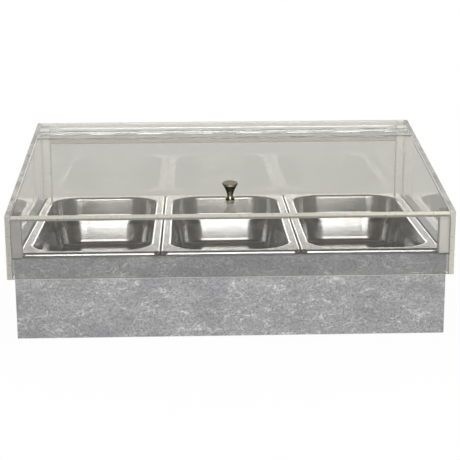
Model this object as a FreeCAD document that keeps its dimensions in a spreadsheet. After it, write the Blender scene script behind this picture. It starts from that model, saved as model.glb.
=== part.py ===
"""Gastronorm cooling box: three steel pans in a stone-laminate box under a clear hood with a hinged lid.

Millimetres. +Z is up, the front faces -Y, and the origin is on the floor under the middle of the box.
"""
import FreeCAD
import Part
import Sketcher
import math
import os

doc = FreeCAD.newDocument("gastronorm_cooling_box")

# Driving sizes: lengths in millimetres, angles in degrees, counts as whole numbers.
SIZES = [
    # Gastronorm pans, 1/3 size and 65 deep
    ("pan_width", 176),
    ("pan_length", 325),
    ("pan_depth", 65),
    ("pan_gap", 1),
    ("pan_sheet", 0.8),
    ("rim_height", 4),
    ("rim_corner", 9),
    ("rim_round", 3.5),
    ("flange", 12),
    ("mouth_corner", 41),
    ("mouth_bend", 3),
    ("shoulder_drop", 25.5),
    ("shoulder_height", 9.5),
    ("shoulder_step", 4),
    ("shoulder_round", 4),
    ("bowl_corner", 41),
    ("wall_draft", 4),
    ("bowl_draft", 11),
    ("bottom_round", 9),
    # Box boards and what lies under the pans
    ("board", 15),
    ("board_arris", 0.5),
    ("floor_board", 10),
    ("insulation", 10),
    ("rim_seat", 3.5),
    ("bowl_clear", 0.5),
    ("pack_thick", 20),
    ("pack_gap", 3),
    ("pack_side_gap", 2),
    ("pack_end_gap", 8),
    ("pack_corner", 14),
    ("pack_edge", 3),
    ("cap_radius", 9),
    ("cap_height", 2),
    ("cap_inset", 22),
    # Rubber feet and their screws
    ("foot_radius", 11),
    ("foot_height", 3),
    ("foot_flare", 1),
    ("foot_inset", 45),
    ("foot_screw_radius", 1.75),
    ("foot_screw_bite", 7),
    ("foot_head_radius", 3.6),
    ("foot_head_height", 1.6),
    ("foot_head_recess", 0.6),
    ("screw_fit", 0.05),
    # Clear hood
    ("acrylic", 6),
    ("acrylic_arris", 0.5),
    ("bond_line", 0.1),
    ("hood_clear", 2.5),
    ("hood_overlap", 25),
    ("hood_front_height", 81),
    ("slope", 9.4),
    ("strip_depth", 55),
    ("rail_thick", 10),
    ("rail_height", 25),
    ("bar_rim_gap", 1),
    # Lid and its continuous hinge
    ("lid_side_gap", 1.5),
    ("lid_rest_gap", 0.3),
    ("hinge_gap", 1.5),
    ("leaf_width", 23),
    ("leaf_thick", 1.5),
    ("barrel_radius", 2.5),
    ("barrel_clear", 0.4),
    ("knuckle_gap", 0.4),
    ("knuckle_pairs", 7),
    ("hinge_pin_radius", 1),
    ("hinge_pin_clear", 0.05),
    # Knob, its screw and its washer
    ("knob_setback", 48),
    ("knob_height", 22.5),
    ("knob_top_radius", 9.6),
    ("knob_rim", 2),
    ("knob_neck_radius", 3.6),
    ("knob_neck_height", 6),
    ("knob_flare_radius", 36),
    ("knob_foot_radius", 5.9),
    ("knob_foot_edge", 1.2),
    ("knob_foot_flare_radius", 7),
    ("knob_round", 0.6),
    ("knob_screw_radius", 2),
    ("knob_screw_bite", 9),
    ("knob_hole_spare", 1),
    ("knob_head_radius", 4),
    ("knob_head_height", 2.4),
    ("knob_socket_radius", 1.4),
    ("knob_socket_depth", 1.4),
    ("washer_radius", 5.5),
    ("washer_thick", 0.8),
    ("lid_hole_clear", 0.4),
]

# Sizes and heights that follow from the driving sizes.
LAYOUT = [
    ("pan_pitch", "Sizes.pan_width + Sizes.pan_gap"),
    ("row_width", "3 * Sizes.pan_width + 2 * Sizes.pan_gap"),
    ("mouth_width", "Sizes.pan_width - 2 * Sizes.flange"),
    ("mouth_length", "Sizes.pan_length - 2 * Sizes.flange"),
    ("draft_tan", "tan(Sizes.wall_draft)"),
    ("bowl_tan", "tan(Sizes.bowl_draft)"),
    ("wall_in", "Sizes.shoulder_drop * draft_tan"),
    ("shoulder_foot", "Sizes.shoulder_drop + Sizes.shoulder_height"),
    ("inner_width", "row_width - 2 * (Sizes.flange - Sizes.pan_sheet) + 2 * Sizes.bowl_clear"),
    ("inner_depth", "Sizes.pan_length - 2 * Sizes.rim_seat"),
    ("base_width", "inner_width + 2 * Sizes.board"),
    ("base_depth", "inner_depth + 2 * Sizes.board"),
    ("pack_level", "Sizes.foot_height + Sizes.floor_board + Sizes.insulation"),
    ("rim_top", "pack_level + Sizes.pack_thick + Sizes.pack_gap + Sizes.pan_depth"),
    ("base_top", "rim_top - Sizes.rim_height"),
    ("base_height", "base_top - Sizes.foot_height"),
    ("pack_width", "mouth_width - 2 * Sizes.pack_side_gap"),
    ("pack_length", "inner_depth - 2 * Sizes.pack_end_gap"),
    ("hood_inner", "base_width + 2 * Sizes.hood_clear"),
    ("hood_width", "hood_inner + 2 * Sizes.acrylic"),
    ("hood_depth", "base_depth + 2 * Sizes.hood_clear + 2 * Sizes.acrylic"),
    ("hood_front", "-hood_depth / 2"),
    ("hood_back", "hood_depth / 2"),
    ("skirt_bottom", "base_top - Sizes.hood_overlap"),
    ("front_top", "skirt_bottom + Sizes.hood_front_height"),
    ("slope_tan", "tan(Sizes.slope)"),
    ("back_top", "front_top + hood_depth * slope_tan"),
    ("panel_width", "hood_inner - 2 * Sizes.bond_line"),
    ("fixed_drop", "(Sizes.acrylic + Sizes.bond_line) / cos(Sizes.slope)"),
    ("lid_drop", "(Sizes.acrylic + Sizes.lid_rest_gap) / cos(Sizes.slope)"),
    ("bar_room", "Sizes.hood_clear + Sizes.board - Sizes.rim_seat - Sizes.bar_rim_gap"),
    ("corner_bar", "bar_room - Sizes.bond_line"),
    ("slope_run", "hood_depth / cos(Sizes.slope)"),
    ("hinge_run", "slope_run - Sizes.strip_depth"),
    ("hinge_rise", "Sizes.barrel_radius + Sizes.bond_line"),
    ("lid_width", "hood_inner - 2 * Sizes.lid_side_gap"),
    ("leaf_start", "Sizes.barrel_radius + Sizes.barrel_clear"),
    ("knuckle_pitch", "lid_width / (2 * Sizes.knuckle_pairs + 1)"),
    ("knuckle", "knuckle_pitch - Sizes.knuckle_gap"),
    ("foot_x", "base_width / 2 - Sizes.foot_inset"),
    ("foot_y", "base_depth / 2 - Sizes.foot_inset"),
]

# A quarter turn in radians, and how near an edge lies to the place where it is looked for.
QUARTER = math.pi / 2
TOUCH = 0.01


def fill_sheet(name, rows):
    sheet = doc.addObject("Spreadsheet::Sheet", name)
    for row, (alias, entry) in enumerate(rows, start=1):
        sheet.set(f"A{row}", alias)
        sheet.set(f"B{row}", str(entry))
        sheet.setAlias(f"B{row}", alias)
    doc.recompute()
    return sheet


fill_sheet("Sizes", SIZES)
layout = fill_sheet("Layout", [(alias, "=" + formula) for alias, formula in LAYOUT])
nodes = []


def value(expression):
    """The present value of an expression in the sheets' names."""
    return float(layout.evalExpression(str(expression)))


def vector(across, along):
    return FreeCAD.Vector(value(across), value(along), 0)


def node(item, label):
    item.Label = label
    nodes.append(item)
    return item


def new_body(label):
    return node(doc.addObject("PartDesign::Body", label), label)


def place(item, x="0", y="0", z="0", tilt=None):
    """Puts an object at x, y, z, and tilts it about the X axis with the lid's slope when asked."""
    if tilt:
        turn = FreeCAD.Rotation(FreeCAD.Vector(1, 0, 0), value(tilt))
        item.Placement = FreeCAD.Placement(FreeCAD.Vector(), turn)
        item.setExpression("Placement.Rotation.Angle", tilt)
    item.setExpression("Placement.Base.x", x)
    item.setExpression("Placement.Base.y", y)
    item.setExpression("Placement.Base.z", z)
    return item


def new_sketch(body, role, offset=None):
    sketch = body.newObject("Sketcher::SketchObject", body.Name + "_sketch")
    plane = next(feature for feature in body.Origin.OriginFeatures if feature.Role == role)
    sketch.AttachmentSupport = [(plane, "")]
    sketch.MapMode = "FlatFace"
    if offset:
        sketch.setExpression("AttachmentOffset.Base.z", offset)
    return sketch


def fix(sketch, kind, *arguments):
    """Adds a constraint whose last argument is an expression, and binds it."""
    *where, expression = arguments
    index = sketch.addConstraint(Sketcher.Constraint(kind, *where, value(expression)))
    sketch.setExpression(f"Constraints[{index}]", expression)


def outline(sketch, points, arcs=None):
    """Closed outline through points given as expression pairs.

    arcs maps the index of a side to the expression of its radius. The arc bows to the left of the side's
    direction, so it hollows an outline that runs anticlockwise.
    """
    arcs = arcs or {}
    count = len(points)
    for index, point in enumerate(points):
        start = vector(*point)
        end = vector(*points[(index + 1) % count])
        if index in arcs:
            radius = value(arcs[index])
            chord = end - start
            left = FreeCAD.Vector(-chord.y, chord.x, 0).normalize()
            bow = radius - (radius ** 2 - (chord.Length / 2) ** 2) ** 0.5
            sketch.addGeometry(Part.Arc(end, (start + end) / 2 + left * bow, start), False)
        else:
            sketch.addGeometry(Part.LineSegment(start, end), False)
    ends = [(2, 1) if index in arcs else (1, 2) for index in range(count)]
    for index, (across, along) in enumerate(points):
        start, end = ends[index]
        follower = (index + 1) % count
        sketch.addConstraint(Sketcher.Constraint("Coincident", index, end, follower, ends[follower][0]))
        fix(sketch, "DistanceX", -1, 1, index, start, across)
        fix(sketch, "DistanceY", -1, 1, index, start, along)
    for index, radius in arcs.items():
        fix(sketch, "Radius", index, radius)
    return sketch


def rectangle(sketch, width, length):
    right = f"({width}) / 2"
    back = f"({length}) / 2"
    corners = [(f"-{right}", f"-{back}"), (right, f"-{back}"), (right, back), (f"-{right}", back)]
    return outline(sketch, corners)


def rounded_rectangle(sketch, width, length, radius):
    """Rectangle about the origin with four equal corner arcs."""
    corner = value(radius)
    right = value(width) / 2
    back = value(length) / 2
    inner_x = right - corner
    inner_y = back - corner
    lines = [
        ((-inner_x, -back), (inner_x, -back)),
        ((right, -inner_y), (right, inner_y)),
        ((inner_x, back), (-inner_x, back)),
        ((-right, inner_y), (-right, -inner_y)),
    ]
    for start, end in lines:
        sketch.addGeometry(Part.LineSegment(FreeCAD.Vector(*start, 0), FreeCAD.Vector(*end, 0)), False)
    centres = [(inner_x, -inner_y), (inner_x, inner_y), (-inner_x, inner_y), (-inner_x, -inner_y)]
    for quarter, centre in enumerate(centres):
        circle = Part.Circle(FreeCAD.Vector(*centre, 0), FreeCAD.Vector(0, 0, 1), corner)
        sketch.addGeometry(Part.ArcOfCircle(circle, (quarter - 1) * QUARTER, quarter * QUARTER), False)
    for side in range(4):
        arc = side + 4
        sketch.addConstraint(Sketcher.Constraint("Tangent", side, 2, arc, 1))
        sketch.addConstraint(Sketcher.Constraint("Tangent", arc, 2, (side + 1) % 4, 1))
        sketch.addConstraint(Sketcher.Constraint("Horizontal" if side % 2 == 0 else "Vertical", side))
    for arc in (5, 6, 7):
        sketch.addConstraint(Sketcher.Constraint("Equal", 4, arc))
    fix(sketch, "Radius", 4, radius)
    fix(sketch, "DistanceX", -1, 1, 1, 1, f"({width}) / 2")
    fix(sketch, "DistanceX", -1, 1, 3, 1, f"-({width}) / 2")
    fix(sketch, "DistanceY", -1, 1, 2, 1, f"({length}) / 2")
    fix(sketch, "DistanceY", -1, 1, 0, 1, f"-({length}) / 2")
    return sketch


def circle(sketch, radius, across="0", along="0"):
    round_line = Part.Circle(vector(across, along), FreeCAD.Vector(0, 0, 1), value(radius))
    index = sketch.addGeometry(round_line, False)
    fix(sketch, "Radius", index, radius)
    fix(sketch, "DistanceX", -1, 1, index, 3, across)
    fix(sketch, "DistanceY", -1, 1, index, 3, along)
    return sketch


def extrude(kind, body, sketch, length, side="One side", reverse=False, taper=None):
    solid = next((item for item in reversed(body.Group) if item.isDerivedFrom("PartDesign::Feature")), None)
    before = solid.Shape.Volume if solid else 0
    feature = body.newObject("PartDesign::" + kind, body.Name + "_" + kind.lower())
    feature.Profile = sketch
    feature.SideType = side
    feature.Reversed = reverse
    feature.setExpression("Length", length)
    if taper:
        feature.setExpression("TaperAngle", taper)
    doc.recompute()
    grows = kind == "Pad"
    if (feature.Shape.Volume > before) != grows:
        raise RuntimeError(f"{feature.Label} in {body.Label} points the wrong way")
    return feature


def pad(body, sketch, length, **options):
    return extrude("Pad", body, sketch, length, **options)


def pocket(body, sketch, length, **options):
    return extrude("Pocket", body, sketch, length, **options)


def loft(kind, body, start, end):
    """Straight-sided transition between two outlines, added for a Pad and cut out for a Pocket."""
    feature = body.newObject("PartDesign::" + LOFTS[kind], body.Name + "_loft")
    feature.Profile = start
    feature.Sections = [end]
    feature.Ruled = True
    doc.recompute()
    return feature


LOFTS = {"Pad": "AdditiveLoft", "Pocket": "SubtractiveLoft"}


def revolve(body, sketch):
    feature = body.newObject("PartDesign::Revolution", body.Name + "_turned")
    feature.Profile = sketch
    feature.ReferenceAxis = (sketch, ["V_Axis"])
    doc.recompute()
    return feature


def dress(kind, body, size, edges=None):
    """Rounds or breaks the named edges of the body's last feature, or all its edges."""
    base = body.Tip
    feature = body.newObject("PartDesign::" + kind, body.Name + "_" + kind.lower())
    feature.Base = (base, edges or ["Edge1"])
    feature.UseAllEdges = edges is None
    feature.setExpression("Radius" if kind == "Fillet" else "Size", size)
    doc.recompute()
    return feature


def ring(body, level, width, length):
    """Edges of a level outline about the body's middle, by its height, width and length."""
    height = value(level)
    reach = (value(width) / 2, value(length) / 2)
    names = []
    for number, edge in enumerate(body.Tip.Shape.Edges, start=1):
        box = edge.BoundBox
        if max(abs(box.ZMin - height), abs(box.ZMax - height)) > TOUCH:
            continue
        far = (max(abs(box.XMin), abs(box.XMax)), max(abs(box.YMin), abs(box.YMax)))
        if any(abs(far[axis] - reach[axis]) < TOUCH for axis in (0, 1)):
            names.append(f"Edge{number}")
    return names


# Box: four boards, a floor and an insulating mat

def base_board(label, width, depth, height, x, y, z):
    box = node(doc.addObject("Part::Box", label), label)
    box.setExpression("Length", width)
    box.setExpression("Width", depth)
    box.setExpression("Height", height)
    return place(box, f"{x} - ({width}) / 2", f"{y} - ({depth}) / 2", z)


def long_board(label, y):
    """Front or back board, as wide as the box, with its edges broken."""
    body = new_body(label)
    sketch = rectangle(new_sketch(body, "XY_Plane"), "Layout.base_width", "Sizes.board")
    pad(body, sketch, "Layout.base_height")
    dress("Chamfer", body, "Sizes.board_arris")
    place(body, y=y, z="Sizes.foot_height")


def floor_panel():
    body = new_body("base_floor_panel")
    sketch = rectangle(new_sketch(body, "XY_Plane"), "Layout.inner_width", "Layout.inner_depth")
    pad(body, sketch, "Sizes.floor_board")
    holes = new_sketch(body, "XY_Plane")
    for x, y in FOOT_PLACES:
        circle(holes, "Sizes.foot_screw_radius + Sizes.screw_fit", x, y)
    pocket(body, holes, "Sizes.foot_screw_bite", reverse=True)
    place(body, z="Sizes.foot_height")


FOOT_PLACES = [(f"{x}Layout.foot_x", f"{y}Layout.foot_y") for x in ("-", "") for y in ("-", "")]
LONG_BOARD_Y = "(Layout.base_depth - Sizes.board) / 2"
SIDE_BOARD_X = "(Layout.base_width - Sizes.board) / 2"
long_board("base_front_panel", "-" + LONG_BOARD_Y)
long_board("base_back_panel", LONG_BOARD_Y)
for label, x in (("base_left_panel", "-" + SIDE_BOARD_X), ("base_right_panel", SIDE_BOARD_X)):
    base_board(label, "Sizes.board", "Layout.inner_depth", "Layout.base_height", x, "0", "Sizes.foot_height")
floor_panel()
base_board("floor_insulation", "Layout.inner_width", "Layout.inner_depth", "Sizes.insulation",
           "0", "0", "Sizes.foot_height + Sizes.floor_board")


# Cool packs: a flat blow-moulded flask under each pan, with a filler cap let into its face

def cool_pack(label, x):
    body = new_body(label)
    sketch = rounded_rectangle(new_sketch(body, "XY_Plane"), "Layout.pack_width", "Layout.pack_length",
                               "Sizes.pack_corner")
    pad(body, sketch, "Sizes.pack_thick")
    flat_edges = ring(body, "0", "Layout.pack_width", "Layout.pack_length")
    flat_edges += ring(body, "Sizes.pack_thick", "Layout.pack_width", "Layout.pack_length")
    dress("Fillet", body, "Sizes.pack_edge", flat_edges)
    seat = new_sketch(body, "XY_Plane", "Sizes.pack_thick")
    cap_y = "Layout.pack_length / 2 - Sizes.cap_inset"
    circle(seat, "Sizes.cap_radius", along=cap_y)
    pocket(body, seat, "Sizes.cap_height")
    place(body, x, "0", "Layout.pack_level")
    cap = new_body(label + "_cap")
    pad(cap, circle(new_sketch(cap, "XY_Plane"), "Sizes.cap_radius - Sizes.screw_fit"), "Sizes.cap_height")
    place(cap, x, cap_y, "Layout.pack_level + Sizes.pack_thick - Sizes.cap_height")


# Pans: pressed steel with a rolled rim, a sloping stacking shoulder and a rounded bottom

def pan(label, x):
    body = new_body(label)
    sheet = "Sizes.pan_sheet"

    def round_ring(radius, level, size):
        dress("Fillet", body, radius, ring(body, level, *size))

    def inset(size, by):
        return [f"{side} - 2 * ({by})" for side in size]

    def outline_at(level, size, corner):
        return rounded_rectangle(new_sketch(body, "XY_Plane", level), *size, corner)

    pad(body, outline_at("0", RIM, "Sizes.rim_corner"), "Sizes.rim_height", reverse=True)
    hollow = outline_at("-Sizes.rim_height", inset(RIM, sheet), f"Sizes.rim_corner - {sheet}")
    pocket(body, hollow, f"Sizes.rim_height - {sheet}", reverse=True)
    round_ring(f"Sizes.rim_round - {sheet}", "-" + sheet, inset(RIM, sheet))
    round_ring("Sizes.rim_round", "0", RIM)

    def skin(wall, bottom, kind, **options):
        """Upper wall, shoulder and lower wall, and the sizes at the shoulder and the bottom."""
        mouth = inset(MOUTH, f"-({wall})")
        upper = inset(mouth, "Layout.wall_in")
        lower = inset(upper, "Sizes.shoulder_step")
        top = outline_at("0", mouth, f"Sizes.mouth_corner + {wall}")
        above = outline_at("-Sizes.shoulder_drop", upper, f"Sizes.mouth_corner + {wall} - Layout.wall_in")
        below = outline_at("-Layout.shoulder_foot", lower, f"Sizes.bowl_corner + {wall}")
        extrude(kind, body, top, "Sizes.shoulder_drop", taper="-Sizes.wall_draft", **options)
        loft(kind, body, above, below)
        fall = f"{bottom} - Layout.shoulder_foot"
        extrude(kind, body, below, fall, taper="-Sizes.bowl_draft", **options)
        return upper, lower, inset(lower, f"({fall}) * Layout.bowl_tan")

    outside = skin(sheet, "Sizes.pan_depth", "Pad", reverse=True)
    inside = skin("0", f"Sizes.pan_depth - {sheet}", "Pocket")
    round_ring("Sizes.bottom_round", f"{sheet} - Sizes.pan_depth", inside[2])
    round_ring(f"Sizes.bottom_round + {sheet}", "-Sizes.pan_depth", outside[2])
    for size in (inside, outside):
        round_ring("Sizes.shoulder_round", "-Sizes.shoulder_drop", size[0])
        round_ring("Sizes.shoulder_round", "-Layout.shoulder_foot", size[1])
    underside = inset(inset(MOUTH, f"-{sheet}"), f"{sheet} * Layout.draft_tan")
    round_ring("Sizes.mouth_bend", "-" + sheet, underside)
    round_ring(f"Sizes.mouth_bend + {sheet}", "0", MOUTH)
    place(body, x, "0", "Layout.rim_top")


RIM = ("Sizes.pan_width", "Sizes.pan_length")
MOUTH = ("Layout.mouth_width", "Layout.mouth_length")
for side, x in (("left", "-Layout.pan_pitch"), ("middle", "0"), ("right", "Layout.pan_pitch")):
    cool_pack("cool_pack_" + side, x)
    pan("pan_" + side, x)


# Feet: rubber discs screwed up into the floor panel

def primitive(kind, name, **expressions):
    item = doc.addObject("Part::" + kind, name)
    for attribute, expression in expressions.items():
        item.setExpression(attribute, expression)
    return item


def screw_form(name, x, y, fit):
    """Countersunk screw pointing up, or the room that it needs when fit is added to its radii."""
    head = primitive("Cone", name + "_head", Radius1=f"Sizes.foot_head_radius + {fit}",
                     Radius2=f"Sizes.foot_screw_radius + {fit}", Height="Sizes.foot_head_height")
    place(head, x, y, "Sizes.foot_head_recess")
    neck = "Sizes.foot_head_recess + Sizes.foot_head_height"
    shank = primitive("Cylinder", name + "_shank", Radius=f"Sizes.foot_screw_radius + {fit}",
                      Height=f"Sizes.foot_height + Sizes.foot_screw_bite - ({neck})")
    place(shank, x, y, neck)
    form = doc.addObject("Part::Fuse", name)
    form.Base = head
    form.Tool = shank
    return form


def foot(index, x, y):
    disc = primitive("Cone", f"foot_disc_{index}", Radius1="Sizes.foot_radius - Sizes.foot_flare",
                     Radius2="Sizes.foot_radius", Height="Sizes.foot_height")
    place(disc, x, y)
    mouth = primitive("Cylinder", f"foot_mouth_{index}", Radius="Sizes.foot_head_radius + Sizes.screw_fit",
                      Height="Sizes.foot_head_recess")
    place(mouth, x, y)
    room = doc.addObject("Part::Fuse", f"foot_room_{index}")
    room.Base = screw_form(f"foot_hole_{index}", x, y, "Sizes.screw_fit")
    room.Tool = mouth
    cut = doc.addObject("Part::Cut", f"foot_{index}")
    cut.Base = disc
    cut.Tool = room
    return cut


def group(label, items):
    compound = node(doc.addObject("Part::Compound", label), label)
    compound.Links = items
    return compound


feet = []
foot_screws = []
for index, (x, y) in enumerate(FOOT_PLACES):
    feet.append(foot(index, x, y))
    foot_screws.append(screw_form(f"foot_screw_{index}", x, y, "0"))
group("rubber_feet", feet)
group("foot_screws", foot_screws)


# Hood: clear panels cemented edge to edge, with bars in the corners that stand on the box

def slope_height(y, drop):
    """Height of a surface lying drop below the hood's sloping top, at a depth y."""
    return f"Layout.front_top + (({y}) - Layout.hood_front) * Layout.slope_tan - {drop}"


def upright(label, start, width, front, back, bottom, drop):
    """Clear piece with a level bottom and a top that follows the slope."""
    body = new_body(label)
    points = [
        (front, bottom),
        (back, bottom),
        (back, slope_height(back, drop)),
        (front, slope_height(front, drop)),
    ]
    pad(body, outline(new_sketch(body, "YZ_Plane", start), points), width)
    dress("Chamfer", body, "Sizes.acrylic_arris")


FRONT_INSIDE = "Layout.hood_front + Sizes.acrylic"
BACK_INSIDE = "Layout.hood_back - Sizes.acrylic"
PANEL_START = "-Layout.panel_width / 2"
SKIRT = "Layout.skirt_bottom"
FIXED = "Layout.fixed_drop"
RESTING = "Layout.lid_drop"
FRONT = "Layout.hood_front"
BACK = "Layout.hood_back"
upright("hood_left_side", "-Layout.hood_width / 2", "Sizes.acrylic", FRONT, BACK, SKIRT, "0")
upright("hood_right_side", "Layout.hood_inner / 2", "Sizes.acrylic", FRONT, BACK, SKIRT, "0")
upright("hood_front_panel", PANEL_START, "Layout.panel_width", FRONT, FRONT_INSIDE, SKIRT, RESTING)
upright("hood_back_panel", PANEL_START, "Layout.panel_width", BACK_INSIDE, BACK, SKIRT, FIXED)
BAR = "Layout.corner_bar"
STAND = "Layout.base_top"
FRONT_BOND = FRONT_INSIDE + " + Sizes.bond_line"
BACK_BOND = BACK_INSIDE + " - Sizes.bond_line"
for side, start in (("left", PANEL_START), ("right", f"Layout.panel_width / 2 - {BAR}")):
    upright("front_bar_" + side, start, BAR, FRONT_BOND, f"{FRONT_BOND} + {BAR}", STAND, RESTING)
    upright("rear_bar_" + side, start, BAR, f"{BACK_BOND} - {BAR}", BACK_BOND, STAND, FIXED)
RAIL_FRONT = BACK_BOND + " - Sizes.rail_thick"
RAIL_BOTTOM = slope_height(RAIL_FRONT, FIXED) + " - Sizes.rail_height"
RAIL_INSET = f"({BAR} + Sizes.bond_line)"
upright("hood_rear_rail", f"{PANEL_START} + {RAIL_INSET}", f"Layout.panel_width - 2 * {RAIL_INSET}",
        RAIL_FRONT, BACK_BOND, RAIL_BOTTOM, FIXED)


# Pieces on the slope: local Y runs up the slope from the front edge, local Z stands off it

def on_slope(body, run="0", rise="0"):
    y = f"Layout.hood_front + ({run}) * cos(Sizes.slope) - ({rise}) * sin(Sizes.slope)"
    z = f"Layout.front_top + ({run}) * sin(Sizes.slope) + ({rise}) * cos(Sizes.slope)"
    return place(body, "0", y, z, "Sizes.slope")


def top_strip():
    body = new_body("hood_top_strip")
    front = "Layout.hinge_run + Sizes.hinge_gap / 2"
    lower_back = "Layout.slope_run - Sizes.acrylic * Layout.slope_tan"
    low = "-Sizes.acrylic"
    points = [(front, low), (lower_back, low), ("Layout.slope_run", "0"), (front, "0")]
    pad(body, outline(new_sketch(body, "YZ_Plane"), points), "Layout.panel_width", side="Symmetric")
    dress("Chamfer", body, "Sizes.acrylic_arris")
    on_slope(body)


def lid_panel():
    body = new_body("lid_panel")
    back = "Layout.hinge_run - Sizes.hinge_gap / 2"
    points = [("0", "-Sizes.acrylic"), (back, "-Sizes.acrylic"), (back, "0"), ("0", "0")]
    pad(body, outline(new_sketch(body, "YZ_Plane"), points), "Layout.lid_width", side="Symmetric")
    dress("Chamfer", body, "Sizes.acrylic_arris")
    hole = circle(new_sketch(body, "XY_Plane"), "Sizes.knob_screw_radius + Sizes.lid_hole_clear",
                  along="Sizes.knob_setback")
    pocket(body, hole, "Sizes.acrylic")
    on_slope(body)


def hinge_leaf(label, sign, first, count):
    """Leaf of the continuous hinge on the side given by sign, with every second knuckle of the barrel."""
    body = new_body(label)
    start = f"{sign}Layout.leaf_start"
    edge = f"{sign}Sizes.leaf_width"
    low = "-Sizes.barrel_radius"
    high = "Sizes.leaf_thick - Sizes.barrel_radius"
    plate = outline(new_sketch(body, "YZ_Plane"), [(start, low), (edge, low), (edge, high), (start, high)])
    pad(body, plate, "Layout.lid_width", side="Symmetric")
    begin = f"-Layout.lid_width / 2 + {first} * Layout.knuckle_pitch + Sizes.knuckle_gap / 2"
    barrel = pad(body, circle(new_sketch(body, "YZ_Plane", begin), "Sizes.barrel_radius"), "Layout.knuckle")
    tongue_points = [("0", low), (start, low), (start, high), ("0", high)]
    tongue = pad(body, outline(new_sketch(body, "YZ_Plane", begin), tongue_points), "Layout.knuckle")
    row = body.newObject("PartDesign::LinearPattern", label + "_knuckles")
    row.Originals = [barrel, tongue]
    row.Direction = (next(axis for axis in body.Origin.OriginFeatures if axis.Role == "X_Axis"), [""])
    row.setExpression("Occurrences", count)
    row.setExpression("Length", f"2 * Layout.knuckle_pitch * ({count} - 1)")
    body.Tip = row
    doc.recompute()
    bore = circle(new_sketch(body, "YZ_Plane"), "Sizes.hinge_pin_radius + Sizes.hinge_pin_clear")
    pocket(body, bore, "Layout.lid_width", side="Symmetric")
    on_slope(body, "Layout.hinge_run", "Layout.hinge_rise")


def hinge_pin():
    body = new_body("hinge_pin")
    section = circle(new_sketch(body, "YZ_Plane"), "Sizes.hinge_pin_radius")
    pad(body, section, "Layout.lid_width", side="Symmetric")
    on_slope(body, "Layout.hinge_run", "Layout.hinge_rise")


top_strip()
lid_panel()
hinge_leaf("hinge_fixed_leaf", "", "0", "Sizes.knuckle_pairs + 1")
hinge_leaf("hinge_moving_leaf", "-", "1", "Sizes.knuckle_pairs")
hinge_pin()


# Knob: a turned trumpet held by a screw and a washer from under the lid

def lid_knob():
    body = new_body("lid_knob")
    bore = "Sizes.knob_screw_radius + Sizes.screw_fit"
    bore_top = "Sizes.knob_screw_bite + Sizes.knob_hole_spare"
    shoulder = "Sizes.knob_height - Sizes.knob_rim"
    points = [
        (bore, "0"),
        ("Sizes.knob_foot_radius", "0"),
        ("Sizes.knob_foot_radius", "Sizes.knob_foot_edge"),
        ("Sizes.knob_neck_radius", "Sizes.knob_neck_height"),
        ("Sizes.knob_top_radius", shoulder),
        ("Sizes.knob_top_radius", "Sizes.knob_height"),
        ("0", "Sizes.knob_height"),
        ("0", bore_top),
        (bore, bore_top),
    ]
    arcs = {2: "Sizes.knob_foot_flare_radius", 3: "Sizes.knob_flare_radius"}
    revolve(body, outline(new_sketch(body, "XZ_Plane"), points, arcs))
    top = "2 * Sizes.knob_top_radius"
    foot_width = "2 * Sizes.knob_foot_radius"
    worn = ring(body, "Sizes.knob_height", top, top) + ring(body, "0", foot_width, foot_width)
    dress("Fillet", body, "Sizes.knob_round", worn)
    on_slope(body, "Sizes.knob_setback")


def knob_screw():
    body = new_body("knob_screw")
    seat = "-Sizes.acrylic - Sizes.washer_thick"
    tip = "Sizes.knob_screw_bite"
    bottom = f"{seat} - Sizes.knob_head_height"
    points = [
        ("0", bottom),
        ("Sizes.knob_head_radius", bottom),
        ("Sizes.knob_head_radius", seat),
        ("Sizes.knob_screw_radius", seat),
        ("Sizes.knob_screw_radius", tip),
        ("0", tip),
    ]
    revolve(body, outline(new_sketch(body, "XZ_Plane"), points))
    socket = circle(new_sketch(body, "XY_Plane", bottom), "Sizes.knob_socket_radius")
    pocket(body, socket, "Sizes.knob_socket_depth", reverse=True)
    on_slope(body, "Sizes.knob_setback")


def knob_washer():
    body = new_body("knob_washer")
    ring_sketch = circle(new_sketch(body, "XY_Plane", "-Sizes.acrylic"), "Sizes.washer_radius")
    circle(ring_sketch, "Sizes.knob_screw_radius + Sizes.screw_fit")
    pad(body, ring_sketch, "Sizes.washer_thick", reverse=True)
    on_slope(body, "Sizes.knob_setback")


lid_knob()
knob_screw()
knob_washer()

doc.recompute()
failed = [item.Label for item in doc.Objects if {"Invalid", "Error"} & set(item.State)]
broken = [item.Label for item in nodes if item.Shape.isNull() or not item.Shape.isValid()]
if failed or broken:
    raise RuntimeError(f"failed objects {failed}, unsound shapes {broken}")
os.makedirs("parts", exist_ok=True)
for item in nodes:
    item.Shape.exportStep(f"parts/{item.Label}.step")
    print(f"{item.Label}: {len(item.Shape.Solids)} solids, {item.Shape.Volume:.0f} mm3")
for name in ("base_width", "base_depth", "base_top", "rim_top", "hood_width", "hood_depth", "back_top"):
    print(f"{name} {value('Layout.' + name):.2f}")
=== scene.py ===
# %% [markdown]
# # A gastronorm cooling box
# This lesson dresses a counter-top cooling box: a low box faced with stone-print laminate, three pressed
# steel pans sunk into it, and a clear acrylic hood with a hinged lid. The shapes come finished from the
# construction model, so the work here is mostly finishes, light and camera.

# %% Load the construction model
import math

import bmesh
import bpy
from mathutils import Matrix, Vector


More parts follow.
